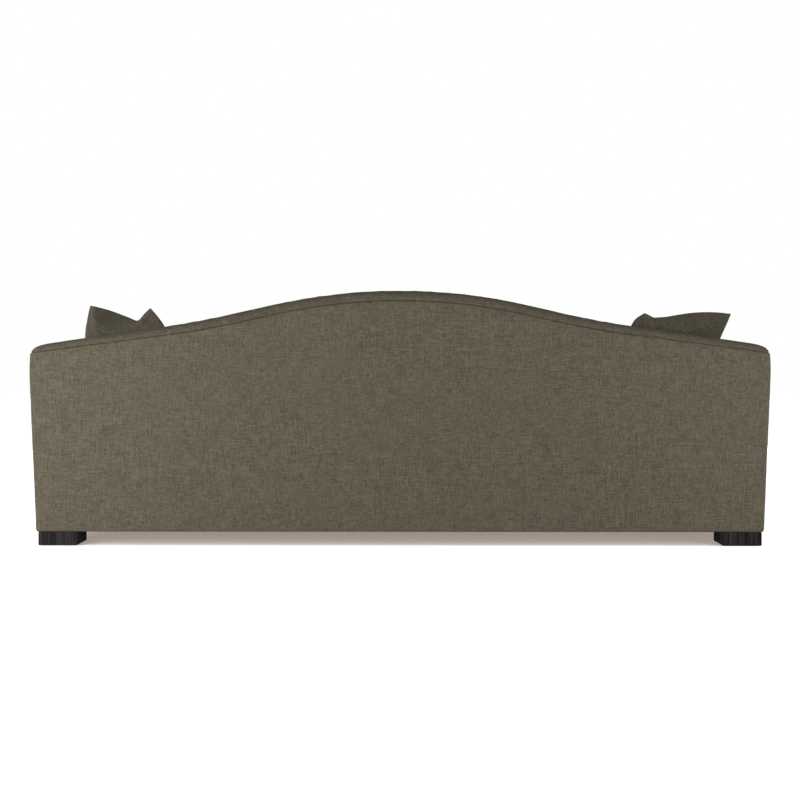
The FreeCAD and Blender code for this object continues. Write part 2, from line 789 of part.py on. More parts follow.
def make_pillows():
    """Two throw pillows, each a cover round an insert, on the outer seat cushions."""
    parts = {}
    left = PillowPlace(1, pillow_left_turn, (pillow_left_outer_height, pillow_left_inner_height),
                       (pillow_left_arm_gap, pillow_left_back_gap),
                       (pillow_left_outer_lean, pillow_left_inner_lean),
                       [share * pillow_left_dip for share in chopped_fall])
    right = PillowPlace(-1, pillow_right_turn,
                        (pillow_right_outer_height, pillow_right_inner_height),
                        (pillow_right_arm_gap, pillow_right_back_gap),
                        (pillow_right_outer_lean, pillow_right_inner_lean),
                        [share * pillow_right_dip for share in creased_fall])
    for name, place in (("left", left), ("right", right)):
        seat = cushion_form(place.hand * cushion_pitch)
        insert = pillow_form(place, seat, pillow_cover_thickness)
        cover = pillow_form(place, seat, 0).cut(insert)
        parts["pillow_insert_" + name] = insert
        parts["pillow_cover_" + name] = cover
    return parts


def main():
    """Makes every sub-part and writes it to its own file."""
    os.makedirs("parts", exist_ok=True)
    makers = (make_feet, make_seat_frame, make_corner_blocks, make_back_frame, make_arm_frame,
              make_webbing, make_back_upholstery, make_arm_upholstery, make_seat_upholstery,
              make_cushions, make_pillows)
    for maker in makers:
        for name, shape in maker().items():
            shape.exportStep(os.path.join("parts", name + ".step"))
            print(name, len(shape.Solids), shape.isValid(), round(shape.Volume))


main()
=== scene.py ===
"""Camelback sofa: soft pieces, finishes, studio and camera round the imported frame."""

import json
import logging
import math
import operator
from collections.abc import Iterable
from dataclasses import dataclass
from enum import Enum
from functools import cached_property, reduce

import bmesh
import bpy
import numpy as np
from bpy.types import ID, Material, Mesh, Node, NodeSocket, Object
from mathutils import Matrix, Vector, kdtree


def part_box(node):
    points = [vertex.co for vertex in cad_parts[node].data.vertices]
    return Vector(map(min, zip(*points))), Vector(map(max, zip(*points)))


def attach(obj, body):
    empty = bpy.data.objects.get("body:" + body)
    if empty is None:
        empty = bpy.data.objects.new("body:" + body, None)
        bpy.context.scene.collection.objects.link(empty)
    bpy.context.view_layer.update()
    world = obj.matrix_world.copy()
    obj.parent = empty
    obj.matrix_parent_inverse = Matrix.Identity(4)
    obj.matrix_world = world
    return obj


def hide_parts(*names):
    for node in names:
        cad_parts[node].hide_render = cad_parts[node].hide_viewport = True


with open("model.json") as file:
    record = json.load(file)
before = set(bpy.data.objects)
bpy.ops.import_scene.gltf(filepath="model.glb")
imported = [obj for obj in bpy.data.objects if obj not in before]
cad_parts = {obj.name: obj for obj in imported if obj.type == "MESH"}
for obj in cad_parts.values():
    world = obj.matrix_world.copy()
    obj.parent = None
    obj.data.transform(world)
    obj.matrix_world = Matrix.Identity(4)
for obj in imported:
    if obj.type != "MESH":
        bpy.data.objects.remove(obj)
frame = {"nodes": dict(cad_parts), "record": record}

log = logging.getLogger("sofa")

Colour = tuple[float, float, float]
Triple = tuple[float, float, float]
Knots = tuple[tuple[float, float], ...]

# Metres: points nearer than this are one, a shorter length is none, and what parts two faces.
MERGE = 1e-5
TINY = 1e-6
GAP = 0.001


class Hand(Enum):
    """The two sides of the sofa, by the sitter's hands."""

    LEFT = ("left", 1.0)
    RIGHT = ("right", -1.0)

    def __init__(self, word: str, sign: float) -> None:
        """Keeps the side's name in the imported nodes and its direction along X."""
        self.word = word
        self.sign = sign


@dataclass(frozen=True, eq=False)
class Term:
    """A number socket in an expression, whose operators add Math nodes."""

    bench: "Bench"
    socket: NodeSocket

    def _join(self, operation: str, first: object, second: object) -> "Term":
        """Result of a Math node on two terms or numbers."""
        return self.bench.term("ShaderNodeMath", {"operation": operation}, {0: first, 1: second})

    def __add__(self, other: object) -> "Term":
        """Sum."""
        return self._join("ADD", self, other)

    def __radd__(self, other: object) -> "Term":
        """Sum, reflected."""
        return self._join("ADD", other, self)

    def __sub__(self, other: object) -> "Term":
        """Difference."""
        return self._join("SUBTRACT", self, other)

    def __rsub__(self, other: object) -> "Term":
        """Difference, reflected."""
        return self._join("SUBTRACT", other, self)

    def __mul__(self, other: object) -> "Term":
        """Product."""
        return self._join("MULTIPLY", self, other)

    def __rmul__(self, other: object) -> "Term":
        """Product, reflected."""
        return self._join("MULTIPLY", other, self)

    def sine(self) -> "Term":
        """Sine."""
        return self._join("SINE", self, 0.0)

    def above(self, threshold: float, width: float) -> "Term":
        """Ramp from 0 to 1 while the term climbs from a threshold by a width."""
        return self.bench.term("ShaderNodeMapRange", {"clamp": True}, {
            "Value": self, "From Min": threshold, "From Max": threshold + width})


def total(terms: Iterable[Term]) -> Term:
    """Sum of terms."""
    return reduce(operator.add, terms)


@dataclass(eq=False)
class Bench:
    """Makes the nodes of one material or of the world."""

    owner: ID

    def __post_init__(self) -> None:
        """Empties the owner's tree."""
        self.owner.use_nodes = True
        self.tree = self.owner.node_tree
        self.tree.nodes.clear()

    @cached_property
    def place(self) -> NodeSocket:
        """Object coordinates, from one node for the whole tree."""
        return self.node("ShaderNodeTexCoord").outputs["Object"]

    def node(self, kind: str, settings: dict | None = None, inputs: dict | None = None) -> Node:
        """Adds one node.

        Args:
            kind: The node's type.
            settings: Its properties, which are set first.
            inputs: Values, terms or sockets for its inputs, by name or number.

        Returns:
            The node.
        """
        made = self.tree.nodes.new(kind)
        for key, value in (settings or {}).items():
            setattr(made, key, value)
        for key, value in (inputs or {}).items():
            if isinstance(value, Term):
                value = value.socket
            if isinstance(value, NodeSocket):
                self.tree.links.new(value, made.inputs[key])
            else:
                made.inputs[key].default_value = value
        return made

    def term(self, kind: str, settings: dict | None = None, inputs: dict | None = None,
             output: int | str = 0) -> Term:
        """One output of a new node, as a term."""
        return Term(self, self.node(kind, settings, inputs).outputs[output])

    def grain(self, frequency: Triple, detail: float) -> Term:
        """Noise from 0 to 1, by its cycles in a metre along X, Y and Z and its octaves."""
        vector = self.node("ShaderNodeVectorMath", {"operation": "MULTIPLY"},
                           {0: self.place, 1: frequency}).outputs[0]
        return self.term("ShaderNodeTexNoise", None,
                         {"Vector": vector, "Scale": 1.0, "Detail": detail})

    def blend(self, factor: object, low: object, high: object) -> NodeSocket:
        """Mixes two colours.

        Args:
            factor: 0 for the first colour and 1 for the second.
            low: The first colour, or a socket.
            high: The second colour, or a socket.

        Returns:
            The mixed colour.
        """
        made = self.node("ShaderNodeMix", {"data_type": "RGBA"}, {0: factor})
        for number, colour in ((6, low), (7, high)):
            if isinstance(colour, NodeSocket):
                self.tree.links.new(colour, made.inputs[number])
            else:
                made.inputs[number].default_value = (*colour, 1.0)
        return made.outputs[2]

    def bump(self, height: Term, depth: float, strength: float) -> NodeSocket:
        """Normal of a height, given as a share of a depth in metres and counted by a strength."""
        return self.node("ShaderNodeBump", None, {
            "Height": height, "Distance": depth, "Strength": strength}).outputs[0]

    def finish(self, inputs: dict) -> Material:
        """Closes the material with one Principled shader.

        Args:
            inputs: Values, terms or sockets for the shader.

        Returns:
            The material.
        """
        shader = self.node("ShaderNodeBsdfPrincipled", None, inputs)
        self.node("ShaderNodeOutputMaterial", None, {"Surface": shader.outputs[0]})
        return self.owner

    def parts(self, vector: NodeSocket) -> list[Term]:
        """A vector's X, Y and Z."""
        made = self.node("ShaderNodeSeparateXYZ", None, {0: vector})
        return [Term(self, made.outputs[number]) for number in range(3)]

    def close(self, lit: Node, seen: Node, output: str) -> None:
        """Ends the tree with one shader for light's own rays and one for what is looked at.

        Args:
            lit: The shader that light falls on or comes from.
            seen: The shader that the camera sees, straight, in a mirror or through glass.
            output: The output node's type.
        """
        path = self.node("ShaderNodeLightPath")
        looked_at = total(Term(self, path.outputs[ray]) for ray in (
            "Is Camera Ray", "Is Glossy Ray", "Is Transmission Ray"))
        mixed = self.node("ShaderNodeMixShader", None,
                          {0: looked_at, 1: lit.outputs[0], 2: seen.outputs[0]})
        self.node(output, None, {"Surface": mixed.outputs[0]})


def each_way(run: float, fine: float) -> list[Triple]:
    """Frequencies of yarns that run along X, Y and Z in turn."""
    return [tuple(run if axis == own else fine for axis in range(3)) for own in range(3)]


@dataclass(frozen=True)
class LinenBlend:
    """Plain-woven melange upholstery cloth with uneven yarns."""

    name: str = "linen_blend"
    dark: Colour = (0.071, 0.061, 0.043)
    middle: Colour = (0.112, 0.097, 0.070)
    light: Colour = (0.160, 0.142, 0.106)
    fleck: Colour = (0.140, 0.112, 0.056)
    # Below 1, a darker copy of the same cloth: painted shade.
    shade: float = 1.0
    yarn: float = 330.0
    yarn_run: float = 44.0
    weave: float = 1500.0
    clouds: float = 22.0
    contrast: float = 4.8
    cloudiness: float = 0.5
    slub_share: float = 0.42
    gap_share: float = 0.34
    fleck_share: float = 0.55
    relief: float = 0.0007
    roughness: float = 0.93

    def with_painted_shade(self, colour: Colour) -> Colour:
        """A colour darkened by the shade factor: painted shade, for a darker copy of the same
        cloth.
        """
        return tuple(part * self.shade for part in colour)

    def make(self) -> Material:
        """The cloth's material."""
        bench = Bench(bpy.data.materials.new(self.name))
        dark, middle, light, fleck = map(self.with_painted_shade,
                                         (self.dark, self.middle, self.light, self.fleck))
        fine, run = self.yarn, self.yarn_run
        mixed = total(bench.grain(way, 2.0) for way in each_way(run, fine)) * (1 / 3)
        thick, long = fine * 0.62, run * 0.5
        wide, short = thick * 1.1, long * 1.6
        slub = total(bench.grain(way, 0.0).above(0.60, 0.12) for way in each_way(long, thick))
        gap = total(bench.grain(way, 0.0).above(0.62, 0.10) for way in (
            (short, thick, wide), (thick, short, thick), (wide, thick, short)))
        cloud = bench.grain((self.clouds, self.clouds, self.clouds), 2.0)
        tone = (mixed - 0.5) * self.contrast + (cloud - 0.5) * self.cloudiness + 0.5
        low = bench.blend(tone.above(-0.1, 0.6), dark, middle)
        body = bench.blend(tone.above(0.5, 0.6), low, light)
        body = bench.blend(slub * self.slub_share, body, light)
        body = bench.blend(gap * self.gap_share, body, dark)
        specks = bench.grain((fine * 0.9, fine * 0.9, fine * 0.9), 0.0).above(0.66, 0.06)
        body = bench.blend(specks * self.fleck_share, body, fleck)
        height = mixed * 0.7 + self.crossings(bench) * 0.3 + slub * 0.3
        return bench.finish({"Base Color": body, "Roughness": self.roughness,
                             "Specular IOR Level": 0.06, "Sheen Weight": 0.01,
                             "Sheen Roughness": 0.6,
                             "Normal": bench.bump(height, self.relief, 0.8)})

    def crossings(self, bench: Bench) -> Term:
        """Height of the yarns' crossings in the plane that the cloth faces.

        Args:
            bench: The material's node maker.

        Returns:
            A height between -1 and 1.
        """
        waves = [(part * (self.weave * math.pi)).sine() for part in bench.parts(bench.place)]
        facing = bench.parts(bench.node("ShaderNodeNewGeometry").outputs["Normal"])
        return total(share * share * waves[number - 2] * waves[number - 1]
                     for number, share in enumerate(facing))


@dataclass(frozen=True)
class StainedWood:
    """Wood with its grain along one axis."""

    name: str
    low: Colour
    high: Colour
    along: Triple = (120.0, 120.0, 7.0)
    roughness: float = 0.55
    gloss: float = 0.4
    depth: float = 0.0003

    def make(self) -> Material:
        """The wood's material."""
        bench = Bench(bpy.data.materials.new(self.name))
        fibres = bench.grain(self.along, 4.0)
        bands = bench.grain(tuple(way * 0.2 for way in self.along), 2.0)
        shade = fibres * 0.65 + bands * 0.35
        tone = shade.above(0.32, 0.36)
        return bench.finish({"Base Color": bench.blend(tone, self.low, self.high),
                             "Roughness": tone * -0.12 + (self.roughness + 0.06),
                             "Specular IOR Level": self.gloss,
                             "Normal": bench.bump(fibres, self.depth, 0.6)})


@dataclass(frozen=True)
class Speckled:
    """Plain stuff whose tone and smoothness vary a little: metal, plastic, foam or felted cloth."""

    name: str
    low: Colour
    high: Colour
    frequency: Triple = (400.0, 400.0, 400.0)
    roughness: float = 0.6
    metallic: float = 0.0
    depth: float = 0.0002

    def make(self) -> Material:
        """The stuff's material."""
        bench = Bench(bpy.data.materials.new(self.name))
        tone = bench.grain(self.frequency, 3.0)
        return bench.finish({"Base Color": bench.blend(tone.above(0.3, 0.4), self.low, self.high),
                             "Roughness": tone * 0.2 + (self.roughness - 0.1),
                             "Metallic": self.metallic,
                             "Normal": bench.bump(tone, self.depth, 0.5)})


@dataclass(frozen=True)
class StripedWebbing:
    """Jute webbing with darker yarns along its straps."""

    name: str = "striped_webbing"
    low: Colour = (0.30, 0.20, 0.11)
    high: Colour = (0.52, 0.38, 0.22)

    def make(self) -> Material:
        """The webbing's material."""
        bench = Bench(bpy.data.materials.new(self.name))
        along_x = bench.grain((30.0, 600.0, 600.0), 1.0)
        along_y = bench.grain((600.0, 30.0, 600.0), 1.0)
        tone = (along_x + along_y) * 0.5
        return bench.finish({"Base Color": bench.blend(tone.above(0.35, 0.3), self.low, self.high),
                             "Roughness": 0.9, "Normal": bench.bump(tone, 0.0006, 0.9)})


def rows_of(items: bpy.types.bpy_prop_collection, field: str) -> np.ndarray:
    """A field of three numbers, as one row for each item."""
    flat = np.zeros(len(items) * 3, np.float32)
    items.foreach_get(field, flat)
    return flat.reshape(-1, 3).astype(float)


def points_of(mesh: Mesh) -> np.ndarray:
    """The mesh's points, one row each."""
    return rows_of(mesh.vertices, "co")


def normals_of(mesh: Mesh) -> np.ndarray:
    """The normal at each of the mesh's points."""
    return rows_of(mesh.vertex_normals, "vector")


def put_points(mesh: Mesh, points: np.ndarray) -> None:
    """Moves the mesh's points to new places."""
    mesh.vertices.foreach_set("co", points.astype(np.float32).ravel())
    mesh.update()


def unevenness(places: np.ndarray, seed: float) -> np.ndarray:
    """Soft hills and hollows, a sum of waves in seeded directions.

    Args:
        places: Points, in lengths of the hills.
        seed: Which set of hills.

    Returns:
        A height for each point, mostly between -1 and 1.
    """
    sizes = (1.0, 1.0, 1.0, 1.7, 1.7, 1.7, 2.9, 2.9)
    chance = np.random.default_rng(int(seed * 100) % 100003)
    height = np.zeros(len(places))
    for size in sizes:
        way = chance.normal(size=3)
        way *= size * math.pi / np.linalg.norm(way)
        height += np.sin(places @ way + chance.uniform(0, 2 * math.pi)) / size
    return height / 3


def mesh_of(name: str, points: list, faces: list) -> Mesh:
    """Mesh from the places of its points and the numbers of its faces' corners."""
    mesh = bpy.data.meshes.new(name)
    mesh.from_pydata(points, [], faces)
    return mesh


def new_object(name: str, data: ID) -> Object:
    """Puts a mesh, light or camera in the scene under a name."""
    made = bpy.data.objects.new(name, data)
    bpy.context.scene.collection.objects.link(made)
    return made


def after_modifier(mesh: Mesh, kind: str, **settings: object) -> Mesh:
    """The mesh that one modifier makes of another.

    Args:
        mesh: The mesh to start from, which is used up.
        kind: The modifier's type.
        settings: The modifier's properties.

    Returns:
        The new mesh.
    """
    holder = new_object("holder", mesh)
    modifier = holder.modifiers.new("step", kind)
    for key, value in settings.items():
        setattr(modifier, key, value)
    bpy.context.view_layer.update()
    ready = holder.evaluated_get(bpy.context.evaluated_depsgraph_get())
    made = bpy.data.meshes.new_from_object(ready)
    bpy.data.objects.remove(holder)
    bpy.data.meshes.remove(mesh)
    return made


def outer_shell(node: str) -> bmesh.types.BMesh:
    """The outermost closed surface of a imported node, its seams merged.

    Args:
        node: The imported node's name.

    Returns:
        A new bmesh, which the caller frees.
    """
    shell = bmesh.new()
    shell.from_mesh(frame["nodes"][node].data)
    bmesh.ops.remove_doubles(shell, verts=shell.verts, dist=MERGE)
    left, best = set(shell.verts), ([], 0.0)
    while left:
        island, edge = [], [left.pop()]
        while edge:
            point = edge.pop()
            island.append(point)
            for way in point.link_edges:
                other = way.other_vert(point)
                if other in left:
                    left.remove(other)
                    edge.append(other)
        places = np.array([point.co for point in island])
        size = float(np.linalg.norm(np.ptp(places, axis=0)))
        if size > best[1] + TINY:
            best = (island, size)
    kept = set(best[0])
    bmesh.ops.delete(shell, geom=[point for point in shell.verts if point not in kept])
    return shell


def tree_of(places: list) -> kdtree.KDTree:
    """Search tree over places, ready for its first search."""
    tree = kdtree.KDTree(max(1, len(places)))
    for number, place in enumerate(places):
        tree.insert(place, number)
    tree.balance()
    return tree


@dataclass
class Skin:
    """Closed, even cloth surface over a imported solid, shaped as arrays of points."""

    node: str
    voxel: float
    edge_angle: float = 0.5
    edge_step: float = 0.008
    calm_reach: float = 0.04
    outline_step: float = 0.0005
    outline_beside: float = 0.03
    outline_drop: float = 0.016

    def __post_init__(self) -> None:
        """Remeshes the solid's outer surface and notes where its sharp edges run."""
        shell = outer_shell(self.node)
        samples = []
        for way in shell.edges:
            if len(way.link_faces) == 2 and way.calc_face_angle(0.0) > self.edge_angle:
                start, end = way.verts[0].co, way.verts[1].co
                count = max(1, int((end - start).length / self.edge_step))
                samples += [start.lerp(end, share / count) for share in range(count + 1)]
        self.edges = tree_of(samples)
        mesh = bpy.data.meshes.new(self.node + "_skin")
        shell.to_mesh(mesh)
        shell.free()
        self.mesh = after_modifier(mesh, "REMESH", mode="VOXEL", voxel_size=self.voxel,
                                   use_smooth_shade=True)

    def edge_distance(self) -> np.ndarray:
        """How far each point lies from the solid's nearest sharp edge."""
        return np.array([self.edges.find(point)[2] for point in points_of(self.mesh)])

    def smooth(self, times: int) -> None:
        """Relaxes the surface a number of times, which rounds its edges."""
        self.mesh = after_modifier(self.mesh, "SMOOTH", iterations=times, factor=0.5)

    def puff(self, height: float, reach: float, along: Triple) -> None:
        """Lifts the surface outwards, more the farther a point is from an edge.

        Args:
            height: The most that it rises.
            reach: The distance from an edge over which it rises.
            along: How much of the rise counts along X, Y and Z.
        """
        rise = height * (1 - np.exp(-self.edge_distance() / reach))
        shift = normals_of(self.mesh) * rise[:, None] * np.array(along)
        put_points(self.mesh, points_of(self.mesh) + shift)

    def widen(self, share: float) -> None:
        """Stretches the surface along X."""
        put_points(self.mesh, points_of(self.mesh) * np.array((share, 1.0, 1.0)))

    def roll_over(self, radius: float) -> None:
        """Turns the rim between the rear face and the outline into a rounder roll.

        Args:
            radius: The roll's radius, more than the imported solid's.
        """
        low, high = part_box(self.node)
        rear = high.y
        outline = self.outline((low.y + high.y) / 2)
        points = points_of(self.mesh)
        for point in points:
            if point[1] < rear - radius:
                continue
            near, _, depth = outline.find((point[0], 0.0, point[2]))
            if depth >= radius:
                continue
            inward = rear - point[1]
            apart = math.hypot(depth - radius, inward - radius)
            if apart <= radius:
                continue
            share = radius / apart
            new_depth = radius + (depth - radius) * share
            if depth > TINY:
                point[0] = near[0] + (point[0] - near[0]) * new_depth / depth
                point[2] = near[2] + (point[2] - near[2]) * new_depth / depth
            else:
                point[2] -= new_depth
            point[1] = rear - radius - (inward - radius) * share
        put_points(self.mesh, points)

    def outline(self, depth: float) -> kdtree.KDTree:
        """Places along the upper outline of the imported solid's section at a depth.

        Args:
            depth: Y of the section.

        Returns:
            The places, their Y left at zero.
        """
        shell = outer_shell(self.node)
        found = set()
        for way in shell.edges:
            first, last = way.verts[0].co, way.verts[1].co
            if (first.y - depth) * (last.y - depth) < 0:
                place = first.lerp(last, (depth - first.y) / (last.y - first.y))
                found.add((round(place.x, 5), round(place.z, 5)))
        shell.free()
        corners = sorted(found)
        upper = []
        for x, z in corners:
            beside = [other[1] for other in corners if abs(other[0] - x) < self.outline_beside]
            if z > max(beside) - self.outline_drop:
                upper.append((x, z))
        samples = []
        for start, end in zip(upper, upper[1:]):
            count = max(1, int(math.dist(start, end) / self.outline_step))
            for part in range(count):
                x, z = (first + (last - first) * (part / count)
                        for first, last in zip(start, end))
                samples.append((x, 0.0, z))
        return tree_of(samples)

    def ripple(self, height: float, length: Triple, seed: float) -> None:
        """Adds soft unevenness along the normals.

        Args:
            height: The most that it rises or falls.
            length: The waves' lengths along X, Y and Z.
            seed: Which set of waves.
        """
        points = points_of(self.mesh)
        rise = unevenness(points / np.array(length), seed) * height
        rise *= 1 - np.exp(-self.edge_distance() / self.calm_reach)
        put_points(self.mesh, points + normals_of(self.mesh) * rise[:, None])

    def lighten(self, share: float) -> None:
        """Thins the facets where the surface is flat, to a share of their number."""
        self.mesh = after_modifier(self.mesh, "DECIMATE", decimate_type="COLLAPSE", ratio=share)

    def piece(self, name: str) -> Object:
        """The finished surface as a smooth-shaded piece.

        Args:
            name: The piece's name.

        Returns:
            The object.
        """
        self.mesh.name = name
        self.mesh.shade_smooth()
        return new_object(name, self.mesh)


@dataclass(frozen=True)
class Inflation:
    """How a stuffed cover swells in the cloth simulation."""

    cap: float
    pressure: float = 3.0
    frames: int = 20
    quality: int = 6
    mass: float = 0.3
    tension: float = 15.0
    bending: float = 0.5

    def swell(self, mesh: Mesh) -> None:
        """Runs the simulation on a mesh and keeps the capped result.

        Args:
            mesh: The cover, whose points are moved.
        """
        start = points_of(mesh)
        scene = bpy.context.scene
        holder = new_object("swelling", mesh.copy())
        cloth = holder.modifiers.new("cloth", "CLOTH")
        cloth.settings.quality = self.quality
        cloth.settings.mass = self.mass
        cloth.settings.tension_stiffness = self.tension
        cloth.settings.compression_stiffness = self.tension
        cloth.settings.bending_stiffness = self.bending
        cloth.settings.use_pressure = True
        cloth.settings.uniform_pressure_force = self.pressure
        cloth.settings.effector_weights.gravity = 0
        cloth.point_cache.frame_start = 1
        cloth.point_cache.frame_end = self.frames
        for number in range(1, self.frames + 1):
            scene.frame_set(number)
        ready = holder.evaluated_get(bpy.context.evaluated_depsgraph_get())
        moved = points_of(ready.to_mesh())
        ready.to_mesh_clear()
        scene.frame_set(1)
        leftover = holder.data
        bpy.data.objects.remove(holder)
        bpy.data.meshes.remove(leftover)
        shift = moved - start
        length = np.linalg.norm(shift, axis=1)
        shift *= np.minimum(1.0, self.cap / np.maximum(length, TINY))[:, None]
        put_points(mesh, start + shift)


class Wardrobe:
    """The finishes of the sofa, made once and shared by its pieces."""

    def __init__(self) -> None:
        """Makes every material."""
        linen = LinenBlend().make()
        # The pillows' cloth is the same linen made darker: painted shade for the shade that they
        # sit in.
        self.by_slot = {"body_fabric": linen, "cushion_fabric": linen,
                        "pillow_fabric": LinenBlend("linen_blend_pillow_painted_shade", shade=0.80).make(),
                        "webbing_jute": StripedWebbing().make()}
        for finish in (
                Speckled("cushion_foam", (0.72, 0.67, 0.52), (0.84, 0.80, 0.66), roughness=0.85),
                Speckled("pillow_fill", (0.78, 0.78, 0.76), (0.88, 0.88, 0.86), roughness=0.95),
                Speckled("dust_cloth", (0.012, 0.012, 0.013), (0.032, 0.032, 0.034),
                         roughness=0.9),
                StainedWood("frame_wood", (0.42, 0.27, 0.14), (0.62, 0.44, 0.27),
                            along=(9.0, 110.0, 110.0)),
                StainedWood("foot_wood", (0.003, 0.0029, 0.0026), (0.040, 0.039, 0.036),
                            roughness=0.75, gloss=0.03),
                Speckled("zinc_steel", (0.48, 0.48, 0.49), (0.62, 0.62, 0.64), roughness=0.35,
                         metallic=1.0),
                Speckled("glide_plastic", (0.035, 0.035, 0.036), (0.06, 0.06, 0.06))):
            self.by_slot[finish.name] = finish.make()

    def dress(self, made: Object, slot: str) -> None:
        """Gives an object the finish of a slot.

        Args:
            made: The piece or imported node.
            slot: The record's material slot.
        """
        made.data.materials.clear()
        made.data.materials.append(self.by_slot[slot])
        for face in made.data.polygons:
            face.material_index = 0

    def dress_nodes(self) -> None:
        """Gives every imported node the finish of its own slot."""
        for part in frame["record"]["subparts"]:
            holder = frame["nodes"][part["node"]]
            for number in range(len(holder.material_slots)):
                holder.material_slots[number].material = self.by_slot[part["material_slot"]]


def settle(made: Object, wardrobe: Wardrobe, slot: str, body: str,
           replaced: tuple[str, ...]) -> Object:
    """Finishes a piece: its material, body, the nodes it stands for and its stuffing.

    Args:
        made: The piece.
        wardrobe: The finishes.
        slot: The record's material slot.
        body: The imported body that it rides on.
        replaced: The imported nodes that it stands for.

    Returns:
        The same piece.
    """
    wardrobe.dress(made, slot)
    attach(made, body)
    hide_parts(*replaced)
    log.info("%s: %d points on %s", made.name, len(made.data.vertices), body)
    return made


@dataclass(frozen=True)
class Cover:
    """Recipe of one tight cover of the fixed upholstery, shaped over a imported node."""

    node: str
    name: str
    voxel: float
    passes: int
    share: float
    wave: float
    wave_length: Triple
    seed: float
    roll: float = 0.0
    rise: float = 0.0
    reach: float = 0.03
    along: Triple = (1.0, 1.0, 1.0)
    stretch: float = 1.0
    fill: float = 0.9

    def build(self, wardrobe: Wardrobe) -> Object:
        """Rounds, rolls, puffs, stretches, ripples and thins the cover, and dresses it.

        Args:
            wardrobe: The finishes.

        Returns:
            The cover.
        """
        skin = Skin(self.node, self.voxel)
        skin.smooth(self.passes)
        if self.roll:
            skin.roll_over(self.roll)
        if self.rise:
            skin.puff(self.rise, self.reach, self.along)
        if self.stretch != 1.0:
            skin.widen(self.stretch)
        skin.ripple(self.wave, self.wave_length, self.seed)
        skin.lighten(self.share)
        return settle(skin.piece(self.name), wardrobe, "body_fabric", "frame", (self.node,))


@dataclass
class BackUpholstery:
    """Top band, outer panel and inner pad of the camel back."""

    voxel: float = 0.004
    pad_voxel: float = 0.008
    band_roll: float = 0.032
    # Darkening of the band's cloth: painted shade.
    band_painted_shade: float = 0.86
    seam_rise: float = 0.003
    seam_reach: float = 0.010
    stretch: float = 1.0015
    pad_rise: float = 0.006
    wave: float = 0.0012

    def build(self, wardrobe: Wardrobe) -> None:
        """Makes and dresses the three pieces."""
        seam = {"rise": self.seam_rise, "reach": self.seam_reach, "along": (0.0, 1.0, 0.0),
                "stretch": self.stretch}
        band = Cover("back_top_band", "back_band", self.voxel, 1, 0.35, self.wave,
                     (0.11, 0.11, 0.11), 3.0, self.band_roll, **seam).build(wardrobe)
        # The band's cloth is the linen made darker: painted shade for its crest, which faces up,
        # away from the lamps.
        band_shaded_linen = LinenBlend("linen_blend_band_painted_shade", shade=self.band_painted_shade)
        band.material_slots[0].material = band_shaded_linen.make()
        Cover("outer_back_panel", "back_panel", self.voxel, 1, 0.13, self.wave,
              (0.35, 0.35, 0.2), 7.0, **seam).build(wardrobe)
        Cover("inner_back_pad", "back_inner_pad", self.pad_voxel, 3, 0.4, self.wave * 2,
              (0.3, 0.3, 0.2), 11.0, rise=self.pad_rise, reach=0.06).build(wardrobe)


@dataclass
class ArmUpholstery:
    """Pad, outer panel and front panel of one arm."""

    hand: Hand
    pad_voxel: float = 0.006
    pad_rise: float = 0.004
    pad_wave: float = 0.002
    panel_voxel: float = 0.005
    panel_rise: float = 0.002
    panel_wave: float = 0.001

    def build(self, wardrobe: Wardrobe) -> None:
        """Makes and dresses the three pieces."""
        side, turn = self.hand.word, self.hand.sign
        Cover("arm_pad_" + side, "arm_inner_" + side, self.pad_voxel, 3, 0.4, self.pad_wave,
              (0.15, 0.25, 0.12), 17.0 + turn, rise=self.pad_rise, reach=0.04).build(wardrobe)
        for part, seed in (("outer_arm", 23.0), ("arm_front", 29.0)):
            Cover(part + "_panel_" + side, part + "_skin_" + side, self.panel_voxel, 2, 0.25,
                  self.panel_wave, (0.3, 0.3, 0.2), seed + turn,
                  rise=self.panel_rise).build(wardrobe)


def grid_faces(columns: int, rows: int) -> list[tuple[int, ...]]:
    """Corner numbers of a grid's quads, where the points run along its rows."""
    width = columns + 1
    return [(first, first + 1, first + width + 1, first + width)
            for row in range(rows) for first in range(row * width, row * width + columns)]


@dataclass
class SeatUpholstery:
    """Deck under the cushions, front border and the cloth under the sofa."""

    voxel: float = 0.006
    deck_wave: float = 0.003
    border_rise: float = 0.002
    border_wave: float = 0.0012
    columns: int = 80
    rows: int = 30
    thickness: float = 0.0004
    sag: float = 0.004

    def build(self, wardrobe: Wardrobe) -> None:
        """Makes and dresses the three pieces."""
        Cover("seat_deck", "deck_cover", self.voxel, 3, 0.3, self.deck_wave, (0.2, 0.2, 0.2),
              31.0, fill=0.8).build(wardrobe)
        Cover("front_border", "border_cover", self.voxel, 2, 0.3, self.border_wave,
              (0.25, 0.25, 0.12), 37.0, rise=self.border_rise).build(wardrobe)
        self.build_underside(wardrobe)

    def build_underside(self, wardrobe: Wardrobe) -> None:
        """Makes the thin cloth that closes the underside, sagging a little between the rails."""
        low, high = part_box("dust_cover")
        wide, deep = high.x - low.x, high.y - low.y
        points = []
        for row in range(self.rows + 1):
            for column in range(self.columns + 1):
                across, along = column / self.columns, row / self.rows
                dip = math.sin(math.pi * across) ** 0.5 * math.sin(math.pi * along) ** 0.5
                points.append((low.x + wide * across, low.y + deep * along,
                               high.z - self.thickness - self.sag * dip))
        mesh = mesh_of("underside_cloth", points, grid_faces(self.columns, self.rows))
        cloth = new_object("underside_cloth", mesh)
        settle(cloth, wardrobe, "dust_cloth", "frame", ("dust_cover",))


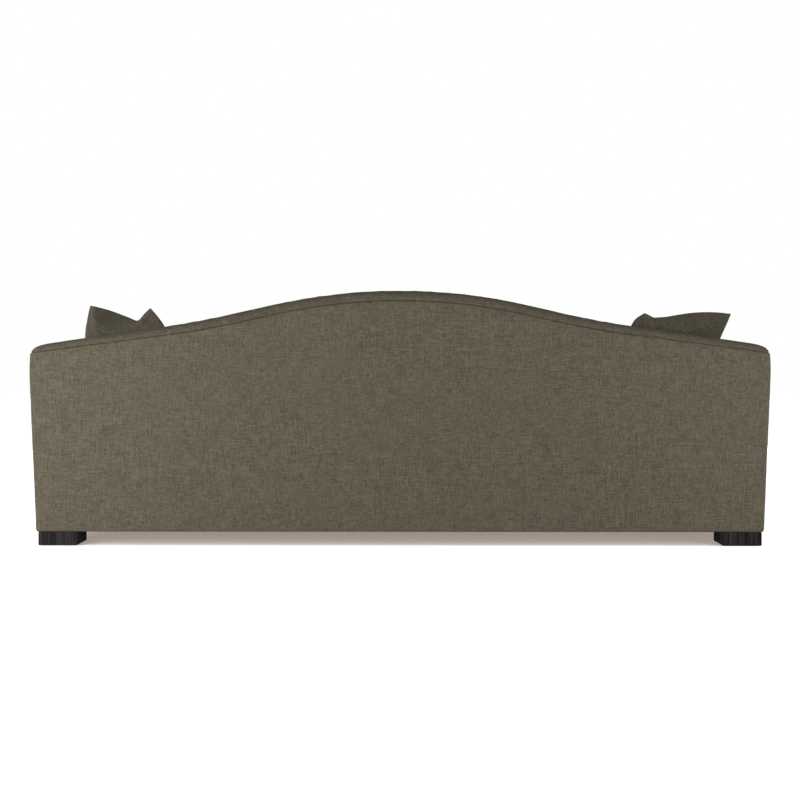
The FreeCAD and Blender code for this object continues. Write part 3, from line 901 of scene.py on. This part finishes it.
def eased(knots: Knots, places: np.ndarray) -> np.ndarray:
    """Smooth curve through knots.

    Args:
        knots: Pairs of place and value, in order.
        places: Where the curve is read.

    Returns:
        The curve's values.
    """
    at, value = np.array(knots).T
    slope = np.gradient(value, at)
    found = np.clip(np.searchsorted(at, places, side="right") - 1, 0, len(at) - 2)
    width = at[found + 1] - at[found]
    share = np.clip((places - at[found]) / width, 0.0, 1.0)
    start = (2 * share**3 - 3 * share**2 + 1) * value[found]
    leave = (share**3 - 2 * share**2 + share) * width * slope[found]
    end = (3 * share**2 - 2 * share**3) * value[found + 1]
    arrive = (share**3 - share**2) * width * slope[found + 1]
    return start + leave + end + arrive


@dataclass(frozen=True)
class Slope:
    """A packed face that leans: its distance from the middle at one height, and its lean."""

    distance: float
    height: float
    lean: float

    def at(self, height: np.ndarray) -> np.ndarray:
        """The face's distance at a height."""
        return self.distance + (height - self.height) * math.tan(math.radians(self.lean))


# The back's inner face, by its Y, and an arm's, by its distance along X.
INSIDE_BACK = Slope(0.2378, 0.4574, 13.0)
INSIDE_ARM = Slope(1.2034, 0.285, 2.3)


def woven_rings(rings: np.ndarray, name: str) -> Mesh:
    """Closed mesh through rings of points, with a point at each end.

    Args:
        rings: Rings of one size, the first and last of them a single repeated place.
        name: The mesh's name.

    Returns:
        The mesh, its two poles first.
    """
    count, size = len(rings) - 2, rings.shape[1]
    points = np.concatenate((rings[:1, 0], rings[-1:, 0], rings[1:-1].reshape(-1, 3)))
    last = 2 + (count - 1) * size
    faces = []
    for step in range(size):
        after = (step + 1) % size
        faces.append((0, 2 + after, 2 + step))
        faces.append((1, last + step, last + after))
        faces += [(low + step, low + after, low + size + after, low + size + step)
                  for low in range(2, last, size)]
    return mesh_of(name, points.tolist(), faces)


@dataclass
class SeatCushion:
    """One loose boxed seat cushion, cover and core in one piece."""

    place: str
    corner: float = 0.035
    corner_parts: int = 8
    step: float = 0.014
    half_depth: float = 0.35
    boxing: float = 0.172
    crown: float = 0.024
    pull: float = 0.005
    belly: float = 0.009
    tuck: float = 0.005
    side_gap: float = 0.0005
    end_gap: float = 0.010
    end_zone: float = 0.1
    seam_depth: float = 0.0035
    seam_width: float = 0.0035
    roll_place: float = 0.009
    roll_width: float = 0.005
    wave: float = 0.0028
    wave_length: float = 0.13
    boxing_rows: tuple[float, ...] = (0.0, 0.015, 0.035, 0.07, 0.14, 0.24, 0.36, 0.5, 0.64, 0.76,
                                      0.86, 0.93, 0.965, 0.985, 1.0)
    swelling: Inflation = Inflation(cap=0.006)

    def outline(self, half_x: float) -> np.ndarray:
        """Rounded rectangle round the origin, its sides pulled in between the corners.

        Args:
            half_x: Half of its width.

        Returns:
            Points in order, two numbers each.
        """
        radius, half_y = self.corner, self.half_depth
        points = []
        ways = ((1, -1, -90.0), (1, 1, 0.0), (-1, 1, 90.0), (-1, -1, 180.0))
        for number, (side_x, side_y, first) in enumerate(ways):
            middle = np.array((side_x * (half_x - radius), side_y * (half_y - radius)))
            for part in range(self.corner_parts + 1):
                angle = math.radians(first + 90.0 * part / self.corner_parts)
                points.append(middle + radius * np.array((math.cos(angle), math.sin(angle))))
            after = ways[(number + 1) % 4]
            run = 2 * ((half_y if side_x == after[0] else half_x) - radius)
            start = points[-1]
            turn = math.radians(first + 90.0)
            away = np.array((-math.sin(turn), math.cos(turn)))
            inward = -np.array((math.cos(turn), math.sin(turn)))
            count = int(run / self.step)
            for part in range(1, count):
                share = part / count
                points.append(start + away * run * share
                              + inward * self.pull * math.sin(math.pi * share))
        return np.array(points)

    def rings(self, low: Vector, high: Vector) -> np.ndarray:
        """The cushion as rings from the middle of its underside to the middle of its crown.

        Args:
            low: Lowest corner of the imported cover.
            high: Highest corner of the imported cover.

        Returns:
            Rings of points.
        """
        middle_x = (low.x + high.x) / 2
        front = low.y + self.end_gap
        half_x = (high.x - low.x) / 2 - self.side_gap
        loop = self.outline(half_x)
        across = loop[:, 1] / (2 * self.half_depth) + 0.5
        bottom, top = low.z, low.z + self.boxing
        shares = np.concatenate((np.linspace(0.0, 0.9, 22)[:-1] ** 0.8, [0.9, 0.94, 0.97, 0.985]))
        rows = [(share, bottom, -self.tuck) for share in shares]
        self.lower_seam = len(rows)
        for height in self.boxing_rows:
            bulge = self.belly * math.sin(math.pi * height) ** 0.8 - self.tuck
            rows.append((1.0, bottom + self.boxing * height, bulge))
        self.upper_seam = len(rows) - 1
        rows += [(share, top + self.crown * (1 - share**2.6) ** 0.9, -self.tuck)
                 for share in shares[::-1]]
        beside = np.sign(loop[:, 0]) * (np.abs(loop[:, 0]) > half_x * (1 - self.end_zone))
        rings = []
        for share, height, bulge in rows:
            rear = float(INSIDE_BACK.at(min(height, top))) - self.end_gap
            edge = np.where(across < self.end_zone, -bulge,
                            np.where(across > 1 - self.end_zone, bulge, 0.0))
            x = middle_x + (loop[:, 0] + beside * bulge) * share
            y = front + (rear - front) * (0.5 + (across - 0.5) * share) + edge * share
            rings.append(np.stack((x, y, np.full(len(x), height)), axis=1))
        return np.array(rings)

    def refined(self, rings: np.ndarray) -> np.ndarray:
        """Twice as many rings of twice as many points, on smooth curves through the old ones.

        Args:
            rings: Rings of points.

        Returns:
            The finer rings.
        """
        before, after = np.roll(rings, 1, axis=1), np.roll(rings, -1, axis=1)
        beyond = np.roll(rings, -2, axis=1)
        between = (9 * (rings + after) - before - beyond) / 16
        wide = np.stack((rings, between), axis=2).reshape(len(rings), -1, 3)
        padded = np.concatenate((wide[:1], wide, wide[-1:]))
        middles = (9 * (padded[1:-2] + padded[2:-1]) - padded[:-3] - padded[3:]) / 16
        fine = np.empty((2 * len(wide) - 1, wide.shape[1], 3))
        fine[::2] = wide
        fine[1::2] = middles
        return fine

    def build(self, wardrobe: Wardrobe) -> None:
        """Makes and dresses the cushion."""
        node = "seat_cushion_cover_" + self.place
        low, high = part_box(node)
        rings = self.rings(low, high)
        mesh = woven_rings(rings, "coarse")
        self.swelling.swell(mesh)
        points = points_of(mesh)
        rings[0], rings[-1] = points[0], points[1]
        rings[1:-1] = points[2:].reshape(rings[1:-1].shape)
        bpy.data.meshes.remove(mesh)
        fine = self.refined(rings)
        mesh = woven_rings(fine, "seat_cushion_" + self.place)
        near = np.full(fine.shape[:2], 1.0)
        for seam in (2 * self.lower_seam, 2 * self.upper_seam):
            near = np.minimum(near, np.linalg.norm(fine - fine[seam], axis=2))
        near = np.concatenate(([1.0, 1.0], near[1:-1].ravel()))
        points, normals = points_of(mesh), normals_of(mesh)
        groove = -self.seam_depth * np.exp(-(near / self.seam_width) ** 2)
        roll = self.seam_depth * 0.5 * np.exp(-((near - self.roll_place) / self.roll_width) ** 2)
        waves = unevenness(points / self.wave_length, 41.0 + low.x) * self.wave
        points += normals * (groove + roll + waves)[:, None]
        points[:, 0] = np.clip(points[:, 0], low.x, high.x)
        points[:, 1] = np.minimum(points[:, 1], INSIDE_BACK.at(points[:, 2]) - GAP)
        points[:, 2] = np.maximum(points[:, 2], low.z)
        put_points(mesh, points)
        mesh.shade_smooth()
        made = new_object("seat_cushion_" + self.place + "_soft", mesh)
        settle(made, wardrobe, "cushion_fabric", "seat_cushion_" + self.place,
               (node, "seat_cushion_core_" + self.place))


@dataclass
class ThrowPillow:
    """One knife-edged throw pillow, dented from above, in a corner of the seat."""

    hand: Hand
    top_outer: Triple
    top_inner: Triple
    bottom_outer: Triple
    bottom_inner: Triple
    top_drop: Knots
    outer_swing: Knots
    inner_swing: Knots
    dent_place: float
    dent_depth: float
    fold_drop: Knots
    fold_swell: Knots
    ridge: float
    fullness: float = 0.150
    plumpness: float = 0.55
    height: float = 0.40
    cells: int = 44
    drop_fade: float = 1.6
    dent_width: float = 0.11
    dent_reach: float = 0.33
    fold_fade: float = 0.14
    ridge_place: float = 0.87
    ridge_width: float = 0.050
    ridge_reach: float = 0.30
    wave: float = 0.004
    wave_length: float = 0.11
    arm_top: float = 0.66
    arm_overhang: float = 0.2
    swelling: Inflation = Inflation(cap=0.0015)

    def middle(self, across: np.ndarray, down: np.ndarray) -> np.ndarray:
        """The pillow's middle surface.

        Args:
            across: Share of the way from the outer to the inner side.
            down: Share of the way from the top to the bottom edge.

        Returns:
            The points.
        """
        top_outer, top_inner, bottom_outer, bottom_inner = map(
            np.array, (self.top_outer, self.top_inner, self.bottom_outer, self.bottom_inner))
        right, below = across[:, None], down[:, None]
        points = ((top_outer * (1 - right) + top_inner * right) * (1 - below)
                  + (bottom_outer * (1 - right) + bottom_inner * right) * below)
        points[:, 2] += eased(self.top_drop, across) * (1 - down) ** self.drop_fade
        swing = eased(self.outer_swing, down) * (1 - across) ** 2
        swing += eased(self.inner_swing, down) * across ** 2
        points[:, 0] += swing
        return points

    def build(self, wardrobe: Wardrobe) -> None:
        """Makes and dresses the pillow."""
        node = "pillow_cover_" + self.hand.word
        mesh = self.shape()
        self.swelling.swell(mesh)
        mesh = after_modifier(mesh, "SUBSURF", levels=1, render_levels=1)
        put_points(mesh, self.pressed(points_of(mesh)))
        mesh.shade_smooth()
        settle(new_object("throw_pillow_" + self.hand.word, mesh), wardrobe, "pillow_fabric",
               "pillow_" + self.hand.word, (node, "pillow_insert_" + self.hand.word))

    def pressed(self, points: np.ndarray) -> np.ndarray:
        """Flattens the pillow where it leans on the back, the arm and the seat.

        Args:
            points: The pillow's points.

        Returns:
            The points, none of them beyond the faces that it touches.
        """
        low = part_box("pillow_cover_" + self.hand.word)[0]
        points[:, 1] = np.minimum(points[:, 1], INSIDE_BACK.at(points[:, 2]) - GAP)
        over = np.clip((points[:, 2] - self.arm_top) * 1.2, 0.0, self.arm_overhang)
        limit = INSIDE_ARM.at(points[:, 2]) + over - GAP
        points[:, 0] = self.hand.sign * np.minimum(self.hand.sign * points[:, 0], limit)
        points[:, 2] = np.maximum(points[:, 2], low.z)
        return points

    def folded(self, across: np.ndarray, down: np.ndarray) -> np.ndarray:
        """How far the rear face stands out along its fold and the ridge to the inner corner.

        Args:
            across: Share of the way from the outer to the inner side.
            down: Share of the way from the top to the bottom edge.

        Returns:
            The distances.
        """
        crest = np.maximum(eased(self.fold_drop, across) / self.height, 0.004)
        climb = np.minimum(down / crest, 1.0)
        spent = np.exp(-(np.maximum(down - crest, 0.0) / self.fold_fade) ** 2)
        ridge = np.exp(-((across - self.ridge_place) / self.ridge_width) ** 2
                       - (down / self.ridge_reach) ** 2)
        ridge *= self.ridge * np.minimum(down / 0.03, 1.0)
        return eased(self.fold_swell, across) * climb * spent + ridge

    def shape(self) -> Mesh:
        """Front and rear faces that meet in the seam, pinched at the corners."""
        share = np.linspace(0.0, 1.0, self.cells + 1)
        share = (1 - np.cos(share * math.pi)) / 2 * 0.55 + share * 0.45
        across, down = (way.ravel() for way in np.meshgrid(share, share))
        middle = self.middle(across, down)
        step = 1e-3
        along = self.middle(np.clip(across + step, 0, 1), down) - self.middle(across - step, down)
        below = self.middle(across, np.clip(down + step, 0, 1)) - self.middle(across, down - step)
        facing = np.cross(along, below) * self.hand.sign
        facing /= np.linalg.norm(facing, axis=1)[:, None]
        rise = np.sin(across * math.pi) * np.sin(down * math.pi)
        full = rise ** self.plumpness
        dent = np.exp(-((across - self.dent_place) / self.dent_width) ** 2
                      - (down / self.dent_reach) ** 2)
        full *= self.fullness / 2 * (1 - self.dent_depth * dent)
        loose = np.sqrt(np.clip(rise, 0.0, 1.0)) * self.wave
        inside = (across > 0) & (across < 1) & (down > 0) & (down < 1)
        sides = []
        for side in (1.0, -1.0):
            seed = 43.0 + side * 5 + self.hand.sign
            reach = full + unevenness(middle / self.wave_length, seed) * loose
            if side < 0:
                reach += self.folded(across, down)
            sides.append(middle + facing * reach[:, None] * side)
        points = np.concatenate((sides[0], sides[1][inside]))
        front = np.arange(len(middle))
        rear = np.where(inside, len(middle) - 1 + np.cumsum(inside), front)
        faces = []
        for ring in grid_faces(self.cells, self.cells):
            faces += [front[list(ring)].tolist(), rear[list(ring[::-1])].tolist()]
        return mesh_of("throw_pillow_" + self.hand.word, points.tolist(), faces)


def left_pillow() -> ThrowPillow:
    """The pillow by the left arm, chopped deep beside its inner corner."""
    return ThrowPillow(
        Hand.LEFT, (1.2185, 0.0125, 0.884), (0.929, 0.2725, 0.862),
        (1.1826, -0.0058, 0.4684), (0.8117, 0.2077, 0.4614),
        top_drop=((0, 0), (0.18, -0.007), (0.35, -0.018), (0.51, -0.033), (0.675, -0.047),
                  (0.81, -0.0475), (0.92, -0.018), (1, 0)),
        outer_swing=((0, 0), (0.14, 0.0156), (0.23, 0.025), (0.33, 0.030), (0.42, 0.028),
                     (0.5, 0.010), (0.62, -0.004), (1, 0)),
        inner_swing=((0, 0), (0.08, -0.016), (0.18, -0.030), (0.4, -0.030), (0.7, -0.012),
                     (1, 0)),
        dent_place=0.78, dent_depth=0.45, ridge=0.032,
        fold_drop=((0, 0), (0.12, 0.005), (0.22, 0.016), (0.38, 0.028), (0.5, 0.031),
                   (0.66, 0.020), (0.8, 0.005), (1, 0)),
        fold_swell=((0, 0), (0.12, 0.008), (0.3, 0.045), (0.5, 0.064), (0.66, 0.046),
                    (0.8, 0.010), (1, 0)))


def right_pillow() -> ThrowPillow:
    """The pillow by the right arm, creased lightly beside its domed inner corner."""
    return ThrowPillow(
        Hand.RIGHT, (-1.276, 0.1025, 0.847), (-0.908, 0.2825, 0.842),
        (-1.1433, -0.0781, 0.4721), (-0.8067, 0.1583, 0.4677),
        top_drop=((0, 0), (0.12, 0.0035), (0.3, 0.0040), (0.475, -0.0020), (0.59, -0.009),
                  (0.705, -0.0150), (0.82, -0.0165), (0.885, -0.0183), (0.95, -0.007), (1, 0)),
        outer_swing=((0, 0), (0.05, -0.001), (0.2, 0.0), (1, 0)),
        inner_swing=((0, 0), (0.05, 0.024), (0.14, 0.036), (0.4, 0.026), (0.7, 0.010),
                     (1, 0)),
        dent_place=0.82, dent_depth=0.35, ridge=0.028,
        fold_drop=((0, 0), (0.1, 0.010), (0.3, 0.016), (0.5, 0.015), (0.7, 0.012),
                   (0.84, 0.006), (1, 0)),
        fold_swell=((0, 0), (0.1, 0.010), (0.3, 0.020), (0.5, 0.022), (0.7, 0.016),
                    (0.84, 0.006), (1, 0)))


@dataclass
class Webbing:
    """Straps under the seat and up the back, with rounded edges."""

    nodes: tuple[str, ...] = ("seat_webbing_side_to_side", "seat_webbing_front_to_back",
                              "back_webbing")
    edge_radius: float = 0.0004

    def build(self, wardrobe: Wardrobe) -> None:
        """Makes and dresses one piece for each group of straps."""
        for node in self.nodes:
            straps = bmesh.new()
            straps.from_mesh(frame["nodes"][node].data)
            bmesh.ops.remove_doubles(straps, verts=straps.verts, dist=MERGE)
            mesh = bpy.data.meshes.new(node + "_straps")
            straps.to_mesh(mesh)
            straps.free()
            mesh = after_modifier(mesh, "BEVEL", width=self.edge_radius, segments=2,
                                  limit_method="ANGLE")
            made = new_object(node + "_straps", mesh)
            settle(made, wardrobe, "webbing_jute", "frame", (node,))


@dataclass
class Studio:
    """Pale floor, soft lights and the camera behind the sofa."""

    camera_place: Triple = (-0.032, 5.0485, 0.624)
    aim: tuple[float, float] = (-0.0022, 0.4825)
    lens: float = 57.735
    sensor: float = 36.0
    shift_y: float = -0.03625
    light_aim: Triple = (0.0, 0.0, 0.45)
    world_strength: float = 0.15
    floor_half: float = 30.0
    floor_colour: Colour = (0.86, 0.85, 0.84)
    # Reach, start, width and colour of the painted shadow in the floor's glow, found by ambient
    # occlusion.
    painted_shadow_reach: float = 0.25
    painted_shadow_start: float = 0.22
    painted_shadow_width: float = 0.30
    painted_shadow_glow: Colour = (0.31, 0.26, 0.225)
    open_glow: Colour = (0.97, 0.96, 0.95)

    def build(self) -> None:
        """Makes the studio."""
        self.build_floor()
        self.build_world()
        self.build_lights()
        self.build_camera()

    def build_floor(self) -> None:
        """Makes the floor, white to the camera, with a painted shadow in its glow where the sofa
        shelters it, over the real shade that falls on it.
        """
        half = self.floor_half
        corners = [(-half, -half, 0), (half, -half, 0), (half, half, 0), (-half, half, 0)]
        mesh = mesh_of("studio_floor", corners, [(0, 1, 2, 3)])
        floor = new_object("studio_floor", mesh)
        bench = Bench(bpy.data.materials.new("floor_painted_shadow"))
        paint = bench.node("ShaderNodeBsdfDiffuse", None, {"Color": (*self.floor_colour, 1.0)})
        # Painted shadow: ambient occlusion darkens the floor's glow under and beside the sofa.
        shelter = bench.term("ShaderNodeAmbientOcclusion", None, {"Distance": self.painted_shadow_reach},
                             "AO")
        open_sky = shelter.above(self.painted_shadow_start, self.painted_shadow_width)
        glow = bench.node("ShaderNodeEmission", None, {
            "Color": bench.blend(open_sky, self.painted_shadow_glow, self.open_glow), "Strength": 1.0})
        both = bench.node("ShaderNodeAddShader", None, {0: paint.outputs[0], 1: glow.outputs[0]})
        bench.close(paint, both, "ShaderNodeOutputMaterial")
        floor.data.materials.append(bench.owner)

    def build_world(self) -> None:
        """Makes the surroundings: white to the eye, and a softer light on the sofa."""
        bpy.context.scene.world = bpy.data.worlds.new("studio_air")
        bench = Bench(bpy.context.scene.world)
        soft, white = (bench.node("ShaderNodeBackground", None,
                                  {"Color": (1.0, 1.0, 1.0, 1.0), "Strength": strength})
                       for strength in (self.world_strength, 1.0))
        bench.close(soft, white, "ShaderNodeOutputWorld")

    def build_lights(self) -> None:
        """Makes the soft boxes."""
        for name, place, size, power in (
                ("light_behind", (0.9, 6.5, 1.0), (3.4, 1.6), 120.0),
                ("light_rear_left", (2.5, 2.3, 0.9), (1.2, 1.2), 50.0),
                ("light_rear_right", (-2.5, 2.3, 0.9), (1.2, 1.2), 31.0),
                ("light_front", (-0.9, -6.0, 1.5), (3.4, 2.2), 300.0),
                ("light_front_left", (3.6, -2.6, 1.8), (1.6, 1.6), 45.0)):
            data = bpy.data.lights.new(name, "AREA")
            data.shape = "RECTANGLE"
            data.size, data.size_y = size
            data.energy = power
            lamp = new_object(name, data)
            lamp.location = place
            way = Vector(self.light_aim) - Vector(place)
            lamp.rotation_euler = way.to_track_quat("-Z", "Y").to_euler()

    def build_camera(self) -> None:
        """Makes the camera, level and turned to the middle of the back."""
        data = bpy.data.cameras.new("studio_camera")
        data.lens = self.lens
        data.sensor_width = self.sensor
        data.shift_y = self.shift_y
        camera = new_object("studio_camera", data)
        camera.location = self.camera_place
        turn = math.atan2(self.aim[0] - self.camera_place[0], self.camera_place[1] - self.aim[1])
        camera.rotation_euler = (math.pi / 2, 0.0, math.pi + turn)
        bpy.context.scene.camera = camera


def main() -> None:
    """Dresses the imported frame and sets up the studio."""
    logging.basicConfig(level=logging.INFO, format="%(message)s")
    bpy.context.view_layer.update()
    bpy.context.scene.view_settings.view_transform = "Standard"
    Studio().build()
    wardrobe = Wardrobe()
    wardrobe.dress_nodes()
    BackUpholstery().build(wardrobe)
    for hand in Hand:
        ArmUpholstery(hand).build(wardrobe)
    SeatUpholstery().build(wardrobe)
    Webbing().build(wardrobe)
    for place in ("left", "middle", "right"):
        SeatCushion(place).build(wardrobe)
    for pillow in (left_pillow(), right_pillow()):
        pillow.build(wardrobe)


if __name__ == "__main__":
    main()
